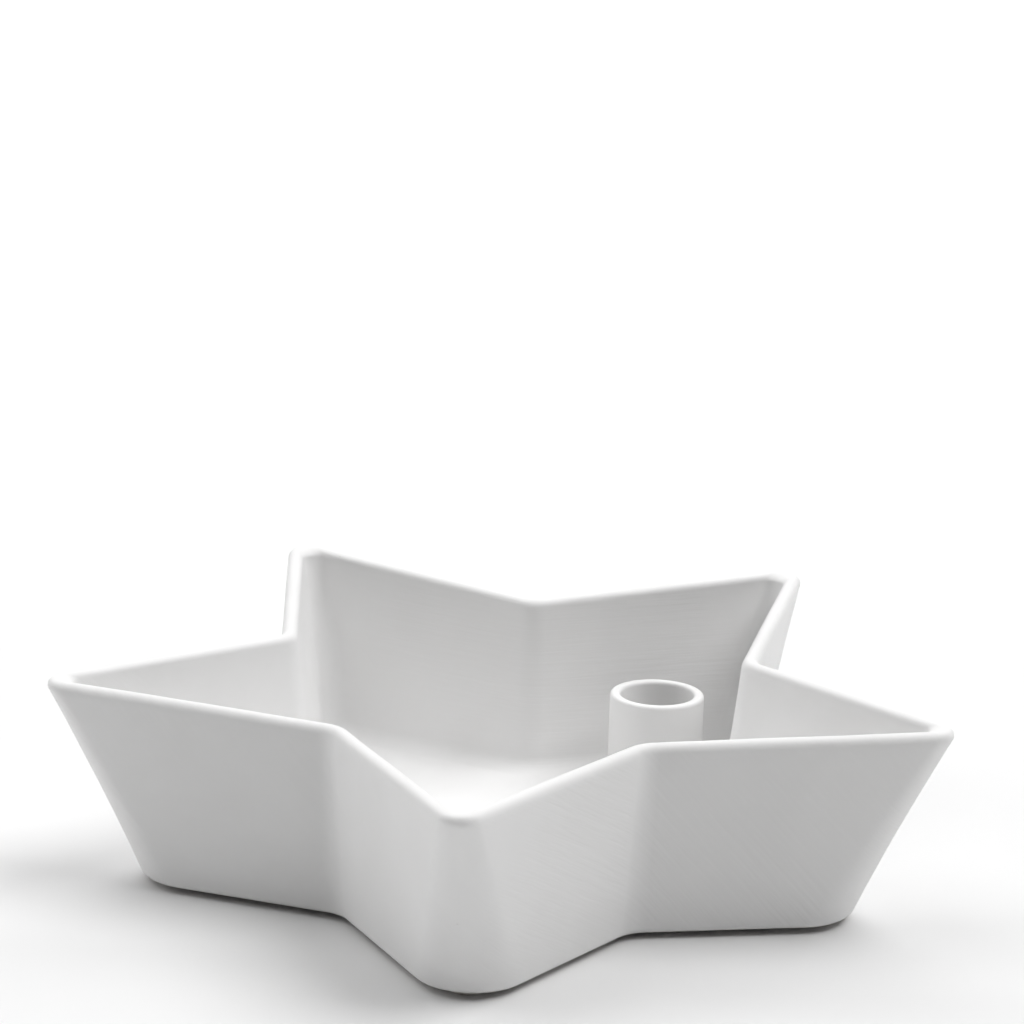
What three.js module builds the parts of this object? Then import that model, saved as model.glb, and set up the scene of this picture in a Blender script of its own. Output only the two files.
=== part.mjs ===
// A star-shaped candle bowl: a five-pointed ceramic dish with leaning walls, a round candle
// socket standing on its floor, and a felt pad under each point.
// Millimetres, +Z up. The front of the bowl, where one point leads, faces -Y.
import * as THREE from "three";
import { mergeVertices } from "three/addons/utils/BufferGeometryUtils.js";

// ---- Driving dimensions ----
const POINTS = 5;
const FRONT_ANGLE = -Math.PI / 2; // direction of the leading point

const BOWL_HEIGHT = 62.5; // from the foot to the rim at the points
const RIM_DIP = 3.2; // how much lower the rim lies at the notches
const RIM_WIDTH = 5; // thickness of the wall at the top, where it ends in a round rim
const FOOT_WALL = 6; // thickness of the wall where it meets the floor
const FLOOR = 3.7; // floor thickness, from the foot plane
const FOOT_ROUND = 2; // rounding of the outer bottom edge
const FLOOR_FILLET = 5; // radius between the floor and the inside of the wall
const FOOT_BAND = 13; // width of the flat foot, from the middle of the wall inwards
const RECESS_DEPTH = 0.6; // hollow of the underside inside the foot
const RECESS_SLOPE = 1.5; // width of the slope into that hollow

// The star followed by the middle of the wall, at the foot plane and at the rim. point and
// notch are the distances of its sharp corners from the centre. pointRound and notchRound are
// the radii of those corners on the outer face, pointInside and notchInside on the inner one.
const FOOT_STAR = {
  point: 121.3,
  notch: 69.8,
  pointRound: 17.5,
  notchRound: 11.5,
  pointInside: 7,
  notchInside: 13,
};
const RIM_STAR = {
  point: 141.5,
  notch: 74.6,
  pointRound: 7,
  notchRound: 8,
  pointInside: 4.5,
  notchInside: 9.5,
};

const CANDLE_BORE = 23.2; // diameter, for an ordinary dinner candle
const SOCKET_WALL = 3.3;
const SOCKET_TOP = 36.1; // above the foot plane
const SOCKET_FLOOR = 8.5; // floor of the bore, above the foot plane
const SOCKET_REACH = 70.9; // from the star's centre to the socket's axis
const SOCKET_POINT = 2; // the socket stands towards this point, counted from the front
const SOCKET_LIP = 1.3; // rounding of the socket's lip
const SOCKET_FLARE = 4; // how far the socket's foot flares out, and how high
const SOCKET_FOOT_EDGE = 0.4; // thickness of that flare at its edge

const PAD_DIAMETER = 11;
const PAD_THICKNESS = 1.5;
const PAD_REACH = 101.5; // from the star's centre to each pad's centre, on the flat foot

const GAP = 0.3; // left between solids that rest on each other

// ---- Fineness ----
const ARC_STEPS = 6; // along each rounded corner of the star
const SIDE_STEPS = 3; // along each straight side between two corners
const WALL_STEPS = 4; // up each face of the wall
const RIM_STEPS = 8; // over the round rim
const ROUND_STEPS = 4; // along the foot rounding and the floor fillet
const TURN_STEPS = 40; // around the socket
const LIP_STEPS = 4; // along each curve of the socket's profile
const PAD_SIDES = 28;

// ---- Shared values ----
const HALF_RIM = RIM_WIDTH / 2;
const INNER_FOOT = FOOT_WALL - HALF_RIM; // from the middle line to the inside, at the floor
const CORNER_ANGLE = Math.PI / POINTS; // from a point to the next notch
const RIM_CENTRE = BOWL_HEIGHT - HALF_RIM; // middle of the round rim at the points

const lerp = THREE.MathUtils.lerp;

function polar(angle, distance, z = 0) {
  return new THREE.Vector3(Math.cos(angle) * distance, Math.sin(angle) * distance, z);
}

// The middle of the wall at a fraction of the way from the foot plane to the rim.
function starAt(fraction) {
  const star = {};
  for (const name of Object.keys(FOOT_STAR)) {
    star[name] = lerp(FOOT_STAR[name], RIM_STAR[name], fraction);
  }
  return star;
}

// One rounded corner of the star, as points along its arc. offset moves the outline outwards,
// and inside runs from 0 for roundings that follow the outer face to 1 for those of the inner.
function cornerArc(star, offset, inside, corner) {
  const isPoint = corner % 2 === 0;
  const angle = FRONT_ANGLE + corner * CORNER_ANGLE;
  const own = isPoint ? star.point : star.notch;
  const next = isPoint ? star.notch : star.point;
  // The half angle of the corner, between the line through its middle and one of its sides.
  const across = next * Math.sin(CORNER_ANGLE);
  const along = Math.abs(own - next * Math.cos(CORNER_ANGLE));
  const half = Math.atan2(across, along);
  const side = isPoint ? -1 : 1; // the arc's centre lies inside a point and outside a notch
  const outerRound = isPoint ? star.pointRound : star.notchRound;
  const innerRound = isPoint ? star.pointInside : star.notchInside;
  const radius = lerp(outerRound + side * (HALF_RIM - offset), innerRound, inside);
  const centre = polar(angle, own + (offset + side * radius) / Math.sin(half));
  const sweep = Math.PI / 2 - half;
  const arc = [];
  for (let step = 0; step <= ARC_STEPS; step += 1) {
    const swing = lerp(-sweep, sweep, step / ARC_STEPS);
    const facing = isPoint ? angle + swing : angle + Math.PI - swing;
    arc.push(centre.clone().add(polar(facing, radius)));
  }
  return arc;
}

// A closed ring of vertices around the star. station runs from 0 at the notches to 1 at the
// points, and height gives each vertex its z from it.
function starRing(fraction, offset, inside, height) {
  const star = starAt(fraction);
  const ring = [];
  for (let corner = 0; corner < 2 * POINTS; corner += 1) {
    const arc = cornerArc(star, offset, inside, corner);
    const following = cornerArc(star, offset, inside, corner + 1);
    const station = corner % 2 === 0 ? 1 : 0;
    for (const spot of arc) {
      spot.z = height(station);
      ring.push(spot);
    }
    const from = arc[ARC_STEPS];
    const to = following[0];
    for (let step = 1; step < SIDE_STEPS; step += 1) {
      const share = step / SIDE_STEPS;
      const spot = from.clone().lerp(to, share);
      spot.z = height(lerp(station, 1 - station, share));
      ring.push(spot);
    }
  }
  return ring;
}

// A ring at one height all round, low on the wall or under the bowl.
function levelRing(z, offset, inside = 0) {
  return starRing(z / RIM_CENTRE, offset, inside, () => z);
}

// A ring at a share of the way from a level low on the wall up to the rim.
function wallRing(bottom, share, offset, inside = 0, lift = 0) {
  const fraction = lerp(bottom / RIM_CENTRE, 1, share);
  const height = (station) => lerp(bottom, RIM_CENTRE - RIM_DIP * (1 - station), share) + lift;
  return starRing(fraction, offset, inside, height);
}

// A closed body from rings of equal length, between a first and a last point on the axis.
function skinRings(first, rings, last) {
  const count = rings[0].length;
  const spots = [first, ...rings.flat(), last];
  const index = [];
  const vertex = (ring, place) => 1 + ring * count + (place % count);
  for (let place = 0; place < count; place += 1) {
    index.push(0, vertex(0, place + 1), vertex(0, place));
    for (let ring = 0; ring + 1 < rings.length; ring += 1) {
      const a = vertex(ring, place);
      const b = vertex(ring, place + 1);
      const c = vertex(ring + 1, place + 1);
      const d = vertex(ring + 1, place);
      index.push(a, b, c, a, c, d);
    }
    const top = rings.length - 1;
    index.push(vertex(top, place), vertex(top, place + 1), spots.length - 1);
  }
  const geometry = new THREE.BufferGeometry().setFromPoints(spots);
  geometry.setIndex(index);
  return mergeVertices(geometry);
}

// ---- Materials ----
const ceramic = new THREE.MeshStandardMaterial({
  color: 0xf4f3f0,
  roughness: 0.6,
  metalness: 0,
});
const felt = new THREE.MeshStandardMaterial({
  color: 0xd9d6cf,
  roughness: 1,
  metalness: 0,
});

function named(name, geometry, material) {
  const mesh = new THREE.Mesh(geometry, material);
  mesh.name = name;
  return mesh;
}

// ---- The bowl: one casting, skinned from its underside, out and over the rim to its floor ----
function bowlGeometry() {
  const rings = [];
  // Underside: the hollow, its slope and the flat foot.
  rings.push(levelRing(RECESS_DEPTH, -FOOT_BAND));
  rings.push(levelRing(0, RECESS_SLOPE - FOOT_BAND));
  // Rounded outer bottom edge.
  for (let step = 0; step <= ROUND_STEPS; step += 1) {
    const turn = (Math.PI / 2) * (step / ROUND_STEPS);
    const offset = HALF_RIM - FOOT_ROUND * (1 - Math.sin(turn));
    rings.push(levelRing(FOOT_ROUND * (1 - Math.cos(turn)), offset));
  }
  // Outside of the wall.
  for (let step = 1; step < WALL_STEPS; step += 1) {
    rings.push(wallRing(FOOT_ROUND, step / WALL_STEPS, HALF_RIM));
  }
  // Half-round rim.
  for (let step = 0; step <= RIM_STEPS; step += 1) {
    const turn = Math.PI * (step / RIM_STEPS);
    const offset = HALF_RIM * Math.cos(turn);
    const inside = (HALF_RIM - offset) / RIM_WIDTH;
    rings.push(wallRing(FOOT_ROUND, 1, offset, inside, HALF_RIM * Math.sin(turn)));
  }
  // Inside of the wall, down to the fillet.
  const filletTop = FLOOR + FLOOR_FILLET;
  for (let step = 1; step < WALL_STEPS; step += 1) {
    const share = step / WALL_STEPS;
    rings.push(wallRing(filletTop, 1 - share, -lerp(HALF_RIM, INNER_FOOT, share), 1));
  }
  // Fillet onto the floor.
  for (let step = 0; step <= ROUND_STEPS; step += 1) {
    const turn = (Math.PI / 2) * (step / ROUND_STEPS);
    const offset = -INNER_FOOT - FLOOR_FILLET * (1 - Math.cos(turn));
    rings.push(levelRing(FLOOR + FLOOR_FILLET * (1 - Math.sin(turn)), offset, 1));
  }
  const underside = new THREE.Vector3(0, 0, RECESS_DEPTH);
  const floorCentre = new THREE.Vector3(0, 0, FLOOR);
  return skinRings(underside, rings, floorCentre);
}

// ---- The candle socket: a turned cup with a rounded lip and a flared foot ----
function socketGeometry() {
  const bore = CANDLE_BORE / 2;
  const outer = bore + SOCKET_WALL;
  const bottom = FLOOR + GAP;
  const profile = new THREE.Path();
  profile.moveTo(0, bottom);
  profile.lineTo(outer + SOCKET_FLARE, bottom);
  profile.lineTo(outer + SOCKET_FLARE, bottom + SOCKET_FOOT_EDGE);
  profile.quadraticCurveTo(outer, bottom + SOCKET_FOOT_EDGE, outer, bottom + SOCKET_FLARE);
  profile.lineTo(outer, SOCKET_TOP - SOCKET_LIP);
  profile.quadraticCurveTo(outer, SOCKET_TOP, outer - SOCKET_LIP, SOCKET_TOP);
  profile.lineTo(bore + SOCKET_LIP, SOCKET_TOP);
  profile.quadraticCurveTo(bore, SOCKET_TOP, bore, SOCKET_TOP - SOCKET_LIP);
  profile.lineTo(bore, SOCKET_FLOOR);
  profile.lineTo(0, SOCKET_FLOOR);
  const lathe = new THREE.LatheGeometry(profile.getPoints(LIP_STEPS), TURN_STEPS);
  lathe.rotateX(Math.PI / 2);
  return lathe;
}

function padGeometry() {
  const pad = new THREE.CylinderGeometry(
    PAD_DIAMETER / 2,
    PAD_DIAMETER / 2,
    PAD_THICKNESS,
    PAD_SIDES
  );
  pad.rotateX(Math.PI / 2);
  return pad;
}

// ---- Assembly ----
const footPlane = PAD_THICKNESS + GAP; // height of the foot over the surface the pads stand on

const star = new THREE.Group();

const bowl = named("star_bowl", bowlGeometry(), ceramic);
bowl.position.z = footPlane;
star.add(bowl);

const socket = named("candle_socket", socketGeometry(), ceramic);
const socketAngle = FRONT_ANGLE + 2 * SOCKET_POINT * CORNER_ANGLE;
socket.position.copy(polar(socketAngle, SOCKET_REACH, footPlane));
star.add(socket);

const padNames = ["front", "right_front", "right_back", "left_back", "left_front"];
padNames.forEach((name, place) => {
  const pad = named(`felt_pad_${name}`, padGeometry(), felt);
  const angle = FRONT_ANGLE + 2 * place * CORNER_ANGLE;
  pad.position.copy(polar(angle, PAD_REACH, PAD_THICKNESS / 2));
  star.add(pad);
});

// The origin is the middle of the bounding box, at the surface that the pads stand on.
const box = new THREE.Box3().setFromObject(star);
star.position.y = -(box.min.y + box.max.y) / 2;
star.position.x = -(box.min.x + box.max.x) / 2;

export default star;
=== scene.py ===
"""Looks for the star-shaped candle bowl: matt white ceramic, a candle socket and felt pads.
"""

import math

import bmesh
import bpy
from mathutils import Matrix, Vector, noise


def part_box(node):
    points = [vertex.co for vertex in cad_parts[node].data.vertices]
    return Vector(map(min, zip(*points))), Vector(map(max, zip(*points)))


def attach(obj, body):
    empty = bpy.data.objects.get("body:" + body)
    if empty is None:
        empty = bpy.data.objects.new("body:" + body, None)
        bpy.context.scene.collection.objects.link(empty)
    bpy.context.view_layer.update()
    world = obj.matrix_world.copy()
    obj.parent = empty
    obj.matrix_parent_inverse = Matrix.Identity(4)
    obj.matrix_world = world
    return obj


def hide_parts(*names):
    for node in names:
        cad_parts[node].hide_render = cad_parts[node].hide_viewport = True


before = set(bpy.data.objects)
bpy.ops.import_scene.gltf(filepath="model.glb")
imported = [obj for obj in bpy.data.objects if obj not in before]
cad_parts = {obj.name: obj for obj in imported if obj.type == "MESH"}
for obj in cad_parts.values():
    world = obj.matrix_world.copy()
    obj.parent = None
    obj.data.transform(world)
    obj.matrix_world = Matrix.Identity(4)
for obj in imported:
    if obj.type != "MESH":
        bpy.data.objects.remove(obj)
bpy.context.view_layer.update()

MM = 0.001

# ---- The bowl's shape, as the CAD model has it ----
POINTS = 5
CORNER_ANGLE = math.pi / POINTS
FRONT_ANGLE = -math.pi / 2
FOOT_STAR = {
    "point": 121.3,
    "notch": 69.8,
    "point_round": 17.5,
    "notch_round": 11.5,
    "point_inside": 7,
    "notch_inside": 13,
}
RIM_STAR = {
    "point": 141.5,
    "notch": 74.6,
    "point_round": 7,
    "notch_round": 8,
    "point_inside": 4.5,
    "notch_inside": 9.5,
}
BOWL_HEIGHT = 62.5
RIM_DIP = 3.2
HALF_RIM = 2.5
INNER_FOOT = 3.5
FLOOR = 3.7
FLOOR_FILLET = 5
FOOT_ROUND = 2
FOOT_BAND = 13
RECESS_DEPTH = 0.6
RECESS_SLOPE = 1.5
RIM_CENTRE = BOWL_HEIGHT - HALF_RIM

# ---- Fineness of the visible meshes ----
POINT_STEPS = 20
NOTCH_STEPS = 14
SIDE_STEPS = 26
WALL_STEPS = 36
RIM_STEPS = 16
FILLET_STEPS = 10
EDGE_STEPS = 6
FLAT_STEPS = 22
TURN_STEPS = 128
PAD_TURN_STEPS = 72

# ---- Places taken from the frame ----
bowl_low, bowl_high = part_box("star_bowl")
socket_low, socket_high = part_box("candle_socket")
foot_z = bowl_low.z


def polar(angle, distance):
    return Vector((math.cos(angle), math.sin(angle))) * distance


def lerp(a, b, share):
    return a + (b - a) * share


def star_at(fraction):
    """The middle line of the wall, part of the way from the foot plane to the rim."""
    return {name: lerp(FOOT_STAR[name], RIM_STAR[name], fraction) for name in FOOT_STAR}


def half_angle(own, following):
    """Half the angle of a corner, between its middle line and one of its sides."""
    across = following * math.sin(CORNER_ANGLE)
    along = abs(own - following * math.cos(CORNER_ANGLE))
    return math.atan2(across, along)


def point_reach(star):
    """How far a rounded point reaches from the star's centre on the outer face."""
    half = half_angle(star["point"], star["notch"])
    radius = star["point_round"]
    return star["point"] + (HALF_RIM - radius) / math.sin(half) + radius


star_centre = Vector(
    (
        (bowl_low.x + bowl_high.x) / 2,
        bowl_low.y + point_reach(RIM_STAR) * MM,
        foot_z,
    )
)


def corner_arc(star, offset, inside, corner):
    """One rounded corner of the star as points along its arc, in millimetres.

    inside runs from 0 for roundings that follow the outer face to 1 for those of the inner.
    """
    is_point = corner % 2 == 0
    angle = FRONT_ANGLE + corner * CORNER_ANGLE
    own = star["point"] if is_point else star["notch"]
    following = star["notch"] if is_point else star["point"]
    outer = star["point_round"] if is_point else star["notch_round"]
    inner = star["point_inside"] if is_point else star["notch_inside"]
    half = half_angle(own, following)
    side = -1 if is_point else 1
    radius = lerp(outer + side * (HALF_RIM - offset), inner, inside)
    centre = polar(angle, own + (offset + side * radius) / math.sin(half))
    sweep = math.pi / 2 - half
    steps = POINT_STEPS if is_point else NOTCH_STEPS
    arc = []
    for step in range(steps + 1):
        swing = lerp(-sweep, sweep, step / steps)
        facing = angle + swing if is_point else angle + math.pi - swing
        arc.append(centre + polar(facing, radius))
    return arc


def star_ring(fraction, offset, inside, height):
    """A closed ring round the star. height gives z from the station, 0 at notches, 1 at points."""
    star = star_at(fraction)
    arcs = [corner_arc(star, offset, inside, corner) for corner in range(2 * POINTS)]
    ring = []
    for corner, arc in enumerate(arcs):
        station = 1 - corner % 2
        ring += [(spot.x, spot.y, height(station)) for spot in arc]
        start = arc[-1]
        end = arcs[(corner + 1) % len(arcs)][0]
        for step in range(1, SIDE_STEPS):
            share = step / SIDE_STEPS
            spot = start.lerp(end, share)
            ring.append((spot.x, spot.y, height(lerp(station, 1 - station, share))))
    return ring


def level_ring(z, offset, inside=0.0):
    return star_ring(z / RIM_CENTRE, offset, inside, lambda station: z)


def wall_ring(bottom, share, offset, inside=0.0, lift=0.0):
    def height(station):
        return lerp(bottom, RIM_CENTRE - RIM_DIP * (1 - station), share) + lift

    return star_ring(lerp(bottom / RIM_CENTRE, 1, share), offset, inside, height)


def shrink(ring, share):
    """The same ring drawn in towards the axis."""
    return [(x * share, y * share, z) for x, y, z in ring]


def skin(bm, rings, low_centre, high_centre):
    """Closes a body from rings of equal length and the two points on its axis."""
    rows = [[bm.verts.new(spot) for spot in ring] for ring in rings]
    count = len(rows[0])
    low = bm.verts.new(low_centre)
    high = bm.verts.new(high_centre)
    for place in range(count):
        after = (place + 1) % count
        bm.faces.new((low, rows[0][after], rows[0][place]))
        bm.faces.new((high, rows[-1][place], rows[-1][after]))
        for lower, upper in zip(rows, rows[1:]):
            bm.faces.new((lower[place], lower[after], upper[after], upper[place]))
    return rows


def turned(profile, steps):
    """The rings of a round body, from its profile of radii and heights."""
    turns = [2 * math.pi * step / steps for step in range(steps)]
    return [[(reach * math.cos(a), reach * math.sin(a), z) for a in turns] for reach, z in profile]


def finished(bm, name, materials, body="root"):
    """Turns a bmesh into a smooth-shaded object that rides on its body."""
    bmesh.ops.recalc_face_normals(bm, faces=bm.faces)
    mesh = bpy.data.meshes.new(name)
    bm.to_mesh(mesh)
    bm.free()
    for face in mesh.polygons:
        face.use_smooth = True
    piece = bpy.data.objects.new(name, mesh)
    bpy.context.scene.collection.objects.link(piece)
    for material in materials:
        mesh.materials.append(material)
    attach(piece, body)
    return piece


# ---- Materials ----
GLAZE_LOW = 0.84
GLAZE_HIGH = 0.87
GLAZE_CLOUD = 0.825
SOCKET_PAINTED_SHADE = 0.03  # painted shade: how much darker the socket's copy of the glaze is drawn, standing in for the dimmer light it gets inside the bowl; its real glaze is the bowl's
SOCKET_STROKES = 0.4  # how strongly the socket's glaze is brushed, beside the bowl's
STROKE_SIZE = (0.03, 0.03, 0.0016)
FRONT_LEAN = math.radians(50)  # how far the strokes at the front lean over
STROKE_CHANGE = 0.02  # the strokes change over this far each side of the object's middle


class Nodes:
    """Short calls for building one material's node tree."""

    def __init__(self, name):
        self.material = bpy.data.materials.new(name)
        self.material.use_nodes = True
        self.tree = self.material.node_tree
        self.shader = self.tree.nodes["Principled BSDF"]
        self.place = self.tree.nodes.new("ShaderNodeTexCoord").outputs["Object"]

    def add(self, kind, inputs=None, **settings):
        node = self.tree.nodes.new(kind)
        for key, value in settings.items():
            setattr(node, key, value)
        for key, value in (inputs or {}).items():
            if isinstance(value, bpy.types.NodeSocket):
                self.tree.links.new(value, node.inputs[key])
            else:
                node.inputs[key].default_value = value
        return node

    def stretched(self, size, turn=(0, 0, 0)):
        """The object's place, turned, then measured in units of this size."""
        inputs = {"Vector": self.place, "Rotation": turn, "Scale": size}
        return self.add("ShaderNodeMapping", inputs, vector_type="TEXTURE").outputs["Vector"]

    def noise(self, vector, scale, detail=3.0, roughness=0.5):
        inputs = {"Vector": vector, "Scale": scale, "Detail": detail, "Roughness": roughness}
        return self.add("ShaderNodeTexNoise", inputs).outputs["Fac"]

    def ramp(self, value, low, high, to_low=0.0, to_high=1.0):
        inputs = {
            "Value": value,
            "From Min": low,
            "From Max": high,
            "To Min": to_low,
            "To Max": to_high,
        }
        node = self.add("ShaderNodeMapRange", inputs, interpolation_type="SMOOTHSTEP")
        return node.outputs["Result"]

    def math(self, operation, a, b):
        return self.add("ShaderNodeMath", {0: a, 1: b}, operation=operation).outputs[0]

    def blend(self, share, a, b):
        node = self.add("ShaderNodeMix", data_type="RGBA")
        for key, value in ((0, share), (6, a), (7, b)):
            if isinstance(value, bpy.types.NodeSocket):
                self.tree.links.new(value, node.inputs[key])
            else:
                node.inputs[key].default_value = value
        return node.outputs[2]

    def bump(self, height, strength, distance, normal=None):
        inputs = {"Height": height, "Strength": strength, "Distance": distance}
        if normal is not None:
            inputs["Normal"] = normal
        return self.add("ShaderNodeBump", inputs).outputs["Normal"]

    def feed(self, key, value):
        if isinstance(value, bpy.types.NodeSocket):
            self.tree.links.new(value, self.shader.inputs[key])
        else:
            self.shader.inputs[key].default_value = value


def grey(value, warmth=0.0):
    return (value + warmth, value, value - warmth, 1.0)


def ceramic_material(name, stroke_share, painted_shade=0.0):
    """Matt white ceramic: brushed glaze, fine grain, faint mottling and a few pin holes."""
    n = Nodes(name)
    mottle = n.noise(n.place, 26.0, 4.0, 0.55)
    cloud = n.noise(n.place, 9.0, 2.0)
    depth = n.add("ShaderNodeSeparateXYZ", {"Vector": n.place}).outputs["Y"]
    front_strokes = n.noise(n.stretched(STROKE_SIZE, (0, FRONT_LEAN, 0)), 1.0, 2.0, 0.6)
    back_strokes = n.noise(n.stretched(STROKE_SIZE), 1.0, 2.0, 0.6)
    at_back = n.ramp(depth, -STROKE_CHANGE, STROKE_CHANGE)
    strokes = n.blend(at_back, front_strokes, back_strokes)
    patches = n.ramp(n.noise(n.place, 17.0, 2.0), 0.4, 0.62)
    grain = n.noise(n.place, 2600.0, 2.0, 0.6)
    pits = n.add("ShaderNodeTexVoronoi", {"Vector": n.place, "Scale": 75.0})
    pit_rare = n.add("ShaderNodeSeparateColor", {"Color": pits.outputs["Color"]})
    pit_here = n.ramp(pit_rare.outputs["Red"], 0.86, 0.87)
    pit_near = n.ramp(pits.outputs["Distance"], 0.012, 0.03, 1.0, 0.0)
    pit = n.math("MULTIPLY", pit_here, pit_near)
    brushed = n.math("MULTIPLY", strokes, n.math("MULTIPLY", patches, stroke_share))

    # The shade value lowers every tone of this copy of the glaze as painted shade.
    low_tone = grey(GLAZE_LOW - painted_shade, 0.003)
    high_tone = grey(GLAZE_HIGH - painted_shade, 0.002)
    cloud_tone = grey(GLAZE_CLOUD - painted_shade, 0.005)
    tone = n.blend(n.ramp(mottle, 0.3, 0.7), low_tone, high_tone)
    tone = n.blend(n.ramp(cloud, 0.35, 0.75, 0.0, 0.35), tone, cloud_tone)
    tone = n.blend(n.math("MULTIPLY", brushed, 0.1), tone, grey(0.7, 0.006))
    tone = n.blend(n.math("MULTIPLY", pit, 0.2), tone, grey(0.5, 0.02))
    n.feed("Base Color", tone)
    n.feed("Roughness", n.ramp(mottle, 0.25, 0.75, 0.5, 0.66))
    n.feed("Specular IOR Level", 0.42)

    broad = n.bump(cloud, 0.35, 0.6 * MM)
    lined = n.bump(brushed, 0.6, 0.2 * MM, broad)
    grained = n.bump(grain, 0.25, 0.05 * MM, lined)
    holed = n.bump(n.math("MULTIPLY", pit, -1.0), 0.5, 0.15 * MM, grained)
    n.feed("Normal", holed)
    return n.material


def bisque_material():
    """The bare foot, wiped clean of glaze before firing: rougher, warmer and slightly chalky."""
    n = Nodes("bare_foot")
    mottle = n.noise(n.place, 60.0, 5.0, 0.6)
    grain = n.noise(n.place, 1500.0, 3.0, 0.7)
    n.feed("Base Color", n.blend(mottle, grey(0.74, 0.025), grey(0.84, 0.018)))
    n.feed("Roughness", n.ramp(grain, 0.3, 0.7, 0.82, 0.97))
    n.feed("Specular IOR Level", 0.25)
    n.feed("Normal", n.bump(grain, 0.5, 0.12 * MM))
    return n.material


def felt_material():
    """Pressed wool felt: tangled fibres of slightly different tones, with a soft sheen."""
    n = Nodes("pressed_felt")
    fibres = n.noise(n.stretched((1.0, 2.9, 1.0)), 2400.0, 5.0, 0.75)
    crossing = n.noise(n.stretched((2.9, 1.0, 1.0)), 2100.0, 5.0, 0.75)
    tangle = n.math("MULTIPLY", n.math("ADD", fibres, crossing), 0.5)
    n.feed("Base Color", n.blend(n.ramp(tangle, 0.35, 0.65), grey(0.6, 0.03), grey(0.84, 0.03)))
    n.feed("Roughness", 0.95)
    n.feed("Sheen Weight", 0.4)
    n.feed("Sheen Roughness", 0.5)
    n.feed("Normal", n.bump(tangle, 0.8, 0.25 * MM))
    return n.material


def floor_material():
    """A plain pale studio floor."""
    n = Nodes("studio_floor")
    n.feed("Base Color", n.blend(n.noise(n.place, 3.0), grey(0.79), grey(0.81)))
    n.feed("Roughness", 0.9)
    n.feed("Specular IOR Level", 0.1)
    return n.material


bowl_glaze = ceramic_material("brushed_white_glaze", 1.0)
# The socket gets a darker copy of the same glaze: painted shade for the dimmer light inside the
# bowl.
socket_glaze = ceramic_material("smooth_white_glaze_painted_shade", SOCKET_STROKES, SOCKET_PAINTED_SHADE)
bare_foot = bisque_material()
pressed_felt = felt_material()


# ---- The bowl ----
HAND_WAVE = 0.16  # how far the hand-finished faces wander, in millimetres
WAVE_LENGTH = 34.0
CALM_HEIGHT = 6.0  # below this the wandering fades out, so that the foot stays flat
UNDERSIDE_MARGIN = 0.1


def bowl_rings():
    """The whole skin of the bowl, from the middle of its underside out, up, over and in."""
    hollow_edge = level_ring(RECESS_DEPTH, -FOOT_BAND)
    foot_inner = level_ring(0, RECESS_SLOPE - FOOT_BAND)
    foot_outer = level_ring(0, HALF_RIM - FOOT_ROUND)
    filled = [shrink(hollow_edge, step / FLAT_STEPS) for step in range(1, FLAT_STEPS)]
    rings = filled + [hollow_edge]
    for step in range(1, EDGE_STEPS):
        share = step / EDGE_STEPS
        ease = share * share * (3 - 2 * share)
        ring = level_ring(0, share * RECESS_SLOPE - FOOT_BAND)
        rings.append([(x, y, RECESS_DEPTH * (1 - ease)) for x, y, z in ring])
    rings.append(foot_inner)
    for step in range(1, EDGE_STEPS):
        offset = lerp(RECESS_SLOPE - FOOT_BAND, HALF_RIM - FOOT_ROUND, step / EDGE_STEPS)
        rings.append(level_ring(0, offset))
    rings.append(foot_outer)
    for step in range(1, EDGE_STEPS + 1):
        turn = math.pi / 2 * step / EDGE_STEPS
        offset = HALF_RIM - FOOT_ROUND * (1 - math.sin(turn))
        rings.append(level_ring(FOOT_ROUND * (1 - math.cos(turn)), offset))
    for step in range(1, WALL_STEPS):
        rings.append(wall_ring(FOOT_ROUND, step / WALL_STEPS, HALF_RIM))
    for step in range(RIM_STEPS + 1):
        turn = math.pi * step / RIM_STEPS
        offset = HALF_RIM * math.cos(turn)
        inside = (1 - math.cos(turn)) / 2
        rings.append(wall_ring(FOOT_ROUND, 1, offset, inside, HALF_RIM * math.sin(turn)))
    for step in range(1, WALL_STEPS):
        share = step / WALL_STEPS
        offset = -lerp(HALF_RIM, INNER_FOOT, share)
        rings.append(wall_ring(FLOOR + FLOOR_FILLET, 1 - share, offset, 1.0))
    for step in range(FILLET_STEPS + 1):
        turn = math.pi / 2 * step / FILLET_STEPS
        offset = -INNER_FOOT - FLOOR_FILLET * (1 - math.cos(turn))
        rings.append(level_ring(FLOOR + FLOOR_FILLET * (1 - math.sin(turn)), offset, 1.0))
    floor_edge = rings[-1]
    rings += [shrink(floor_edge, 1 - step / FLAT_STEPS) for step in range(1, FLAT_STEPS)]
    return rings


def wander(bm):
    """Small hand-finished unevenness, fading to nothing at the flat foot."""
    bm.normal_update()
    moves = []
    for vert in bm.verts:
        fade = min(1.0, vert.co.z / CALM_HEIGHT) if vert.co.z > 0 else 0.0
        swing = noise.noise(vert.co / WAVE_LENGTH) + 0.4 * noise.noise(vert.co / (WAVE_LENGTH / 3))
        moves.append(vert.normal * swing * HAND_WAVE * fade)
    for vert, move in zip(bm.verts, moves):
        vert.co += move


def make_bowl():
    bm = bmesh.new()
    skin(bm, bowl_rings(), (0, 0, RECESS_DEPTH), (0, 0, FLOOR))
    wander(bm)
    under = RECESS_DEPTH + UNDERSIDE_MARGIN
    for face in bm.faces:
        if max(vert.co.z for vert in face.verts) < under:
            face.material_index = 1
    bm.transform(Matrix.Translation(star_centre) @ Matrix.Scale(MM, 4))
    piece = finished(bm, "bowl_casting", [bowl_glaze, bare_foot])
    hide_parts("star_bowl")
    return piece


# ---- The candle socket ----
SOCKET_BORE = 11.6
SOCKET_OUTER = 14.9
SOCKET_LIP = 1.3
SOCKET_BORE_FLOOR = 8.5
SOCKET_FLARE = 4.0
SOCKET_SINK = 0.05  # how far the socket's foot sinks into the floor of the bowl


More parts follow.
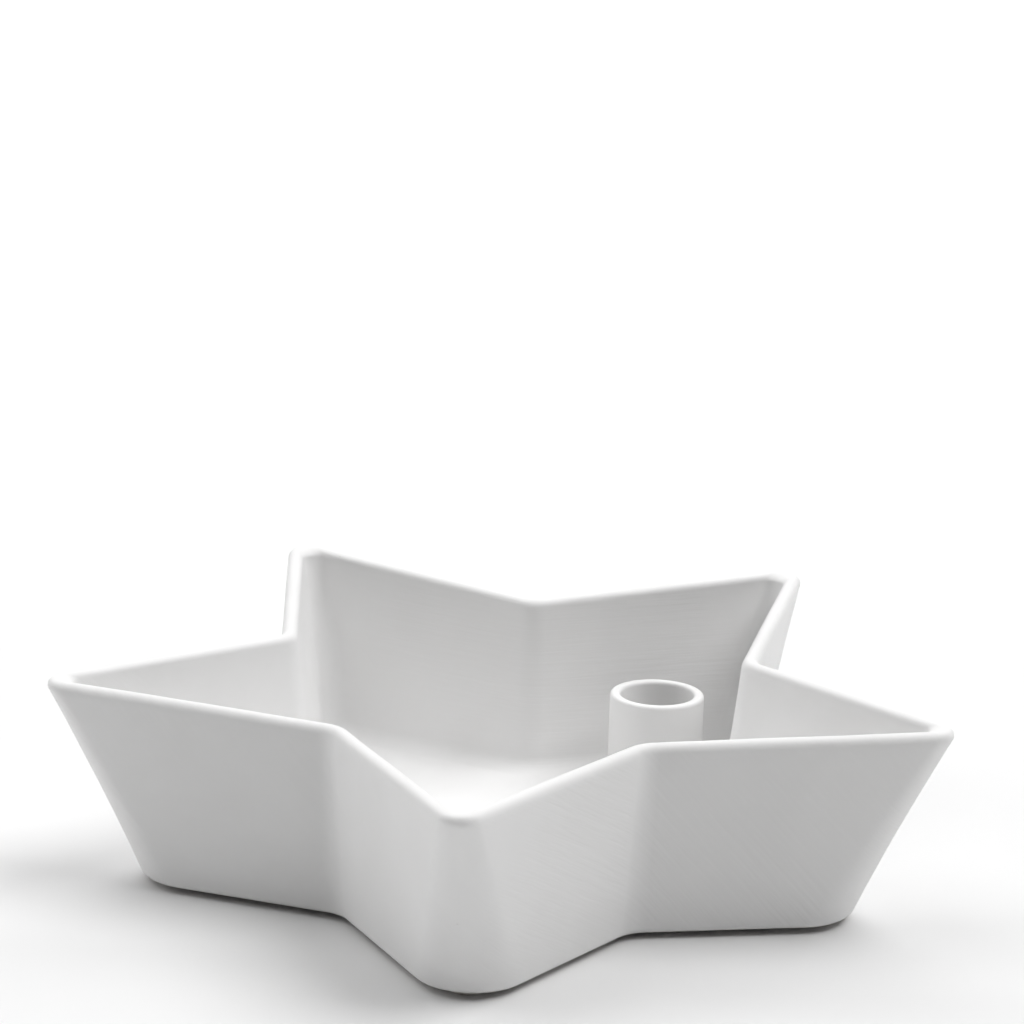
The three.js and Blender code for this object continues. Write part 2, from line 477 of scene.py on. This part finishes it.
def quarter(start, end, corner, steps):
    """A smooth quarter turn from start to end that bulges towards corner."""
    spots = []
    for step in range(1, steps + 1):
        t = step / steps
        x = (1 - t) ** 2 * start[0] + 2 * t * (1 - t) * corner[0] + t * t * end[0]
        z = (1 - t) ** 2 * start[1] + 2 * t * (1 - t) * corner[1] + t * t * end[1]
        spots.append((x, z))
    return spots


def straight(start, end, steps):
    return [
        (lerp(start[0], end[0], step / steps), lerp(start[1], end[1], step / steps))
        for step in range(1, steps + 1)
    ]


def socket_profile():
    """Radius and height, from under the foot, up the outside, over the lip and down the bore."""
    top = (socket_high.z - foot_z) / MM
    bottom = FLOOR - SOCKET_SINK
    outer, bore, lip = SOCKET_OUTER, SOCKET_BORE, SOCKET_LIP
    profile = [(outer + SOCKET_FLARE, bottom)]
    profile += quarter(profile[-1], (outer, bottom + SOCKET_FLARE), (outer, bottom), 8)
    profile += straight(profile[-1], (outer, top - lip), 20)
    profile += quarter(profile[-1], (outer - lip, top), (outer, top), 8)
    profile += straight(profile[-1], (bore + lip, top), 2)
    profile += quarter(profile[-1], (bore, top - lip), (bore, top), 8)
    profile += straight(profile[-1], (bore, SOCKET_BORE_FLOOR + 1), 16)
    profile += quarter(profile[-1], (bore - 1, SOCKET_BORE_FLOOR), (bore, SOCKET_BORE_FLOOR), 5)
    profile += straight(profile[-1], (1.0, SOCKET_BORE_FLOOR), 8)
    return profile, bottom


def make_socket():
    profile, bottom = socket_profile()
    bm = bmesh.new()
    skin(bm, turned(profile, TURN_STEPS), (0, 0, bottom), (0, 0, SOCKET_BORE_FLOOR))
    middle = (socket_low + socket_high) / 2
    place = Vector((middle.x, middle.y, foot_z))
    bm.transform(Matrix.Translation(place) @ Matrix.Scale(MM, 4))
    piece = finished(bm, "candle_socket_cup", [socket_glaze])
    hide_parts("candle_socket")
    return piece


# ---- The felt pads ----
PAD_SOFTNESS = 0.35
FUZZ_SCALE = 2.3
FUZZ_REACH = 0.09


def make_pad(node):
    """A punched felt disc with a soft edge and a slightly fuzzy face."""
    low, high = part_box(node)
    middle = (low + high) / 2
    radius = (high.x - low.x) / 2 / MM
    top = (foot_z - low.z) / MM
    soft = PAD_SOFTNESS
    profile = [(radius * share, 0.0) for share in (0.12, 0.3, 0.5, 0.7, 0.85)]
    profile += [(radius - soft, 0.0)]
    profile += quarter(profile[-1], (radius, soft), (radius, 0.0), 4)
    profile += straight(profile[-1], (radius, top - soft), 4)
    profile += quarter(profile[-1], (radius - soft, top), (radius, top), 4)
    profile += [(radius * share, top) for share in (0.8, 0.5, 0.2)]
    bm = bmesh.new()
    skin(bm, turned(profile, PAD_TURN_STEPS), (0, 0, 0), (0, 0, top))
    bm.normal_update()
    for vert in bm.verts:
        if soft / 2 < vert.co.z < top - soft / 2:
            fuzz = noise.noise((vert.co + middle / MM) * FUZZ_SCALE)
            vert.co += Vector((vert.co.x, vert.co.y, 0)).normalized() * fuzz * FUZZ_REACH
    bm.transform(Matrix.Translation((middle.x, middle.y, low.z)) @ Matrix.Scale(MM, 4))
    piece = finished(bm, node.replace("felt_pad", "pad"), [pressed_felt])
    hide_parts(node)
    return piece


make_bowl()
make_socket()
for node_name in sorted(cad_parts):
    if node_name.startswith("felt_pad"):
        make_pad(node_name)


# ---- Stage ----
FLOOR_HALF = 12.0
SCRIM_SPREAD = 0.7
HORIZON_GLOW = 0.6
ROOM_GLOW = 0.01


def make_floor():
    bm = bmesh.new()
    bmesh.ops.create_grid(bm, x_segments=8, y_segments=8, size=FLOOR_HALF)
    mesh = bpy.data.meshes.new("studio_floor")
    bm.to_mesh(mesh)
    bm.free()
    mesh.materials.append(floor_material())
    plane = bpy.data.objects.new("studio_floor", mesh)
    bpy.context.scene.collection.objects.link(plane)


def softbox(name, place, target, size, energy):
    light = bpy.data.lights.new(name, "AREA")
    light.shape = "RECTANGLE"
    light.size, light.size_y = size
    light.energy = energy
    lamp = bpy.data.objects.new(name, light)
    bpy.context.scene.collection.objects.link(lamp)
    lamp.location = place
    lamp.rotation_mode = "QUATERNION"
    lamp.rotation_quaternion = (Vector(target) - Vector(place)).to_track_quat("-Z", "Y")


def scrim(name, azimuth, elevation, strength):
    """A very soft distant light. azimuth runs from the front, 0, to the right, 90 degrees."""
    across = math.radians(azimuth)
    up = math.radians(elevation)
    source = Vector(
        (
            math.sin(across) * math.cos(up),
            -math.cos(across) * math.cos(up),
            math.sin(up),
        )
    )
    light = bpy.data.lights.new(name, "SUN")
    light.angle = SCRIM_SPREAD
    light.energy = strength
    lamp = bpy.data.objects.new(name, light)
    bpy.context.scene.collection.objects.link(lamp)
    lamp.location = source * 2
    lamp.rotation_mode = "QUATERNION"
    lamp.rotation_quaternion = (-source).to_track_quat("-Z", "Y")


def make_lights():
    scrim("overhead_scrim", 0, 90, 0.15)
    scrim("right_high_scrim", 90, 60, 1.9)
    scrim("left_high_scrim", -90, 60, 0.76)
    scrim("left_middle_scrim", -90, 30, 0.35)
    scrim("left_low_scrim", -95, 10, 0.28)
    scrim("front_high_scrim", 0, 60, 0.05)
    scrim("back_scrim", 180, 60, 0.36)
    softbox("far_softbox", (0, 2.6, 2.2), (0, 2.6, 0), (5, 2.5), 72)


def make_air():
    """A dim room with a pale backdrop behind and beside, which fades out above eye level."""
    world = bpy.data.worlds.new("studio_air")
    world.use_nodes = True
    tree = world.node_tree
    toward = tree.nodes.new("ShaderNodeTexCoord")
    split = tree.nodes.new("ShaderNodeSeparateXYZ")
    tree.links.new(toward.outputs["Generated"], split.inputs["Vector"])

    def fade(axis, start, end, from_value, to_value):
        node = tree.nodes.new("ShaderNodeMapRange")
        node.interpolation_type = "SMOOTHSTEP"
        keys = ("From Min", "From Max", "To Min", "To Max")
        for key, value in zip(keys, (start, end, from_value, to_value)):
            node.inputs[key].default_value = value
        tree.links.new(split.outputs[axis], node.inputs["Value"])
        return node.outputs["Result"]

    glow = tree.nodes.new("ShaderNodeMath")
    glow.operation = "MULTIPLY"
    tree.links.new(fade("Z", 0.09, 0.2, HORIZON_GLOW, ROOM_GLOW), glow.inputs[0])
    tree.links.new(fade("Y", -0.6, -0.2, ROOM_GLOW, 1.0), glow.inputs[1])
    background = tree.nodes["Background"]
    background.inputs["Color"].default_value = (1, 1, 1, 1)
    tree.links.new(glow.outputs["Value"], background.inputs["Strength"])
    bpy.context.scene.world = world


# ---- Camera ----
CAMERA_DISTANCE = 1.134
CAMERA_ELEVATION = math.radians(20.66)
CAMERA_AZIMUTH = math.radians(5.27)  # to the right of straight in front
CAMERA_LENS = 129.8
CAMERA_ROLL = math.radians(1.66)
AIM_HEIGHT = 0.1088  # the lens points over the bowl, which sits low in the frame
AIM_LEFT = 0.00085


def make_camera():
    flat = math.cos(CAMERA_ELEVATION) * CAMERA_DISTANCE
    rise = math.sin(CAMERA_ELEVATION) * CAMERA_DISTANCE
    away = Vector((math.sin(CAMERA_AZIMUTH), -math.cos(CAMERA_AZIMUTH), 0))
    left = Vector((-math.cos(CAMERA_AZIMUTH), -math.sin(CAMERA_AZIMUTH), 0))
    place = star_centre + away * flat + Vector((0, 0, rise))
    aim = star_centre + Vector((0, 0, AIM_HEIGHT)) + left * AIM_LEFT
    data = bpy.data.cameras.new("camera")
    data.sensor_width = 36
    data.lens = CAMERA_LENS
    data.clip_end = 50
    camera = bpy.data.objects.new("camera", data)
    bpy.context.scene.collection.objects.link(camera)
    camera.location = place
    camera.rotation_mode = "QUATERNION"
    look = (aim - place).to_track_quat("-Z", "Y").to_matrix()
    camera.rotation_quaternion = (look @ Matrix.Rotation(CAMERA_ROLL, 3, "Z")).to_quaternion()
    bpy.context.scene.camera = camera


make_floor()
make_lights()
make_air()
make_camera()
bpy.context.scene.view_settings.view_transform = "Standard"
